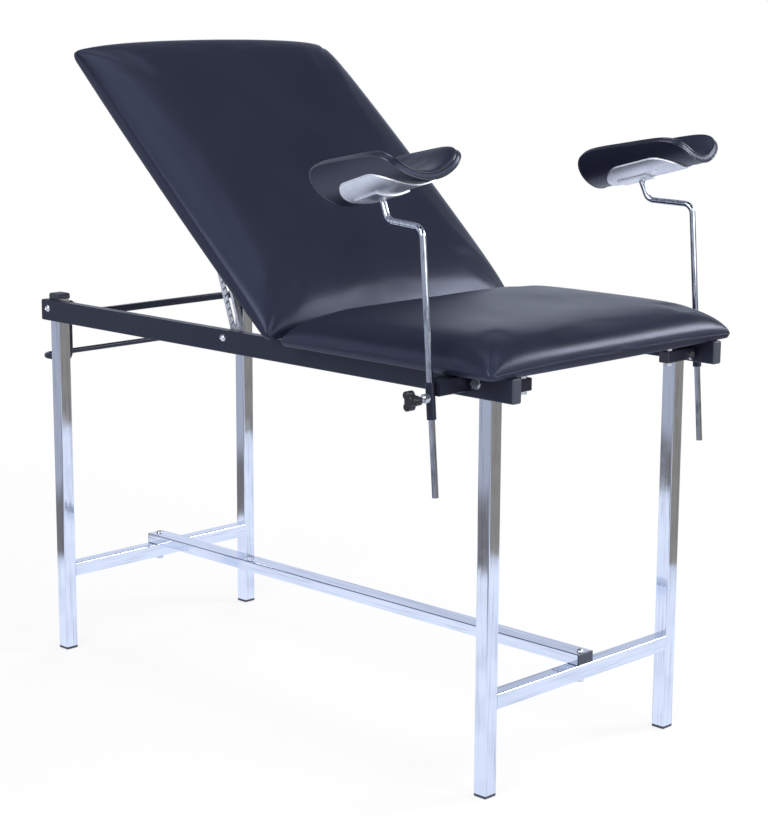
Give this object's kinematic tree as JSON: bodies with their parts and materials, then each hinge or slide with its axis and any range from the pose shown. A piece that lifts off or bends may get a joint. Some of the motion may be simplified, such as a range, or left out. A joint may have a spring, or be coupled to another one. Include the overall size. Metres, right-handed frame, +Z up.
{
  "type": "gynecological examination table",
  "caption": "Padded examination table on chromed legs with a reclining ratchet backrest and clamped trough legrests on rods that slide and swivel.",
  "frame": {"origin": "middle of the table's box on the floor", "axes": "+X towards the foot end with the legrests, +Y across to the far side, +Z up"},
  "size_m": [1.234, 0.7976, 1.1496],
  "materials": {
    "upholstery": "smooth black navy leatherette, satin",
    "plywood": "plain plywood",
    "black_plastic": "moulded black plastic",
    "knob_plastic": "moulded black plastic",
    "liner_plastic": "natural nylon",
    "chrome_tube": "polished chrome plate",
    "chrome_rod": "polished chrome plate",
    "brushed_plate": "brushed along its length",
    "black_paint": "black satin powder coat",
    "zinc_steel": "bright zinc plate",
    "fastener_steel": "bright zinc plate"
  },
  "bodies": {
    "frame": {"clamp_nuts": "fastener_steel", "far_clamp_sleeve": "black_paint", "far_foot_leg": "chrome_tube", "far_head_leg": "chrome_tube", "far_legrest_arm": "black_paint", "far_rail": "black_paint", "far_stub_bar": "black_paint", "foot_cross_stretcher": "chrome_tube", "foot_rail_bolts": "fastener_steel", "frame_nuts": "fastener_steel", "head_cross_bar": "black_paint", "head_cross_stretcher": "chrome_tube", "head_leg_buffers": "black_plastic", "head_rail_bolts": "fastener_steel", "hinge_cross_bar": "black_paint", "hinge_fixed_leaves": "zinc_steel", "hinge_pins": "zinc_steel", "leg_feet": "black_plastic", "long_stretcher": "chrome_tube", "near_clamp_sleeve": "black_paint", "near_foot_leg": "chrome_tube", "near_head_leg": "chrome_tube", "near_legrest_arm": "black_paint", "near_rail": "black_paint", "near_stub_bar": "black_paint", "paper_roll_rod": "black_paint", "rail_end_caps": "black_plastic", "rail_washers": "fastener_steel", "seat_board": "plywood", "seat_fixing_bolts": "fastener_steel", "seat_pad": "upholstery", "seat_spacers": "fastener_steel", "stretcher_bolts": "fastener_steel", "stretcher_end_plugs": "black_plastic", "strut_pivot_bolts": "fastener_steel", "strut_spacers": "fastener_steel", "stub_bar_bolts": "fastener_steel", "stub_bar_plugs": "black_plastic"},
    "backrest": {"backrest_board": "plywood", "backrest_pad": "upholstery", "hinge_moving_leaves": "zinc_steel", "ratchet_pin_brackets": "zinc_steel", "ratchet_pins": "zinc_steel", "hinge_leaf_screws": "zinc_steel"},
    "near_strut": {"near_ratchet_strut": "zinc_steel"},
    "near_liner": {"near_sleeve_liners": "liner_plastic"},
    "near_legrest": {"near_legrest_rod": "chrome_rod", "near_legrest_pad": "upholstery", "near_legrest_plate": "brushed_plate", "near_legrest_strap": "brushed_plate"},
    "near_knob": {"near_clamp_knob": "knob_plastic", "near_clamp_stud": "fastener_steel"},
    "far_strut": {"far_ratchet_strut": "zinc_steel"},
    "far_liner": {"far_sleeve_liners": "liner_plastic"},
    "far_legrest": {"far_legrest_rod": "chrome_rod", "far_legrest_pad": "upholstery", "far_legrest_plate": "brushed_plate", "far_legrest_strap": "brushed_plate"},
    "far_knob": {"far_clamp_knob": "knob_plastic", "far_clamp_stud": "fastener_steel"}
  },
  "joints": [
    {"name": "backrest_recline", "type": "hinge", "parent": "frame", "child": "backrest", "pos_m": [0.118, 0, 0.674], "axis": [0, 1, 0], "range_deg": [-40.8, 7.5]},
    {"name": "near_strut_pivot", "type": "hinge", "parent": "frame", "child": "near_strut", "pos_m": [-0.033, -0.2265, 0.664], "axis": [0, 1, 0], "range_deg": [-76, 15.5]},
    {"name": "near_legrest_swivel", "type": "hinge", "parent": "frame", "child": "near_liner", "pos_m": [0.516, -0.33, 0.641], "axis": [-0.0785, 0, 0.9969], "range_deg": [-36, 54]},
    {"name": "near_legrest_height", "type": "slide", "parent": "near_liner", "child": "near_legrest", "axis": [-0.0785, 0, 0.9969], "range_m": [-0.124, 0.075]},
    {"name": "near_clamp_turn", "type": "hinge", "parent": "frame", "child": "near_knob", "pos_m": [0.51561, -0.352, 0.64599], "axis": [0, -1, 0], "range_deg": [0, 360]},
    {"name": "far_strut_pivot", "type": "hinge", "parent": "frame", "child": "far_strut", "pos_m": [-0.033, 0.2265, 0.664], "axis": [0, 1, 0], "range_deg": [-76, 15.5]},
    {"name": "far_legrest_swivel", "type": "hinge", "parent": "frame", "child": "far_liner", "pos_m": [0.516, 0.33, 0.641], "axis": [-0.0785, 0, 0.9969], "range_deg": [-54, 36]},
    {"name": "far_legrest_height", "type": "slide", "parent": "far_liner", "child": "far_legrest", "axis": [-0.0785, 0, 0.9969], "range_m": [-0.115, 0.084]},
    {"name": "far_clamp_turn", "type": "hinge", "parent": "frame", "child": "far_knob", "pos_m": [0.51561, 0.352, 0.64599], "axis": [0, 1, 0], "range_deg": [0, 360]}
  ],
  "couplings": [
    {"joint": "near_strut_pivot", "follows": "backrest_recline", "ratio": 1.85},
    {"joint": "far_strut_pivot", "follows": "backrest_recline", "ratio": 1.85}
  ]
}
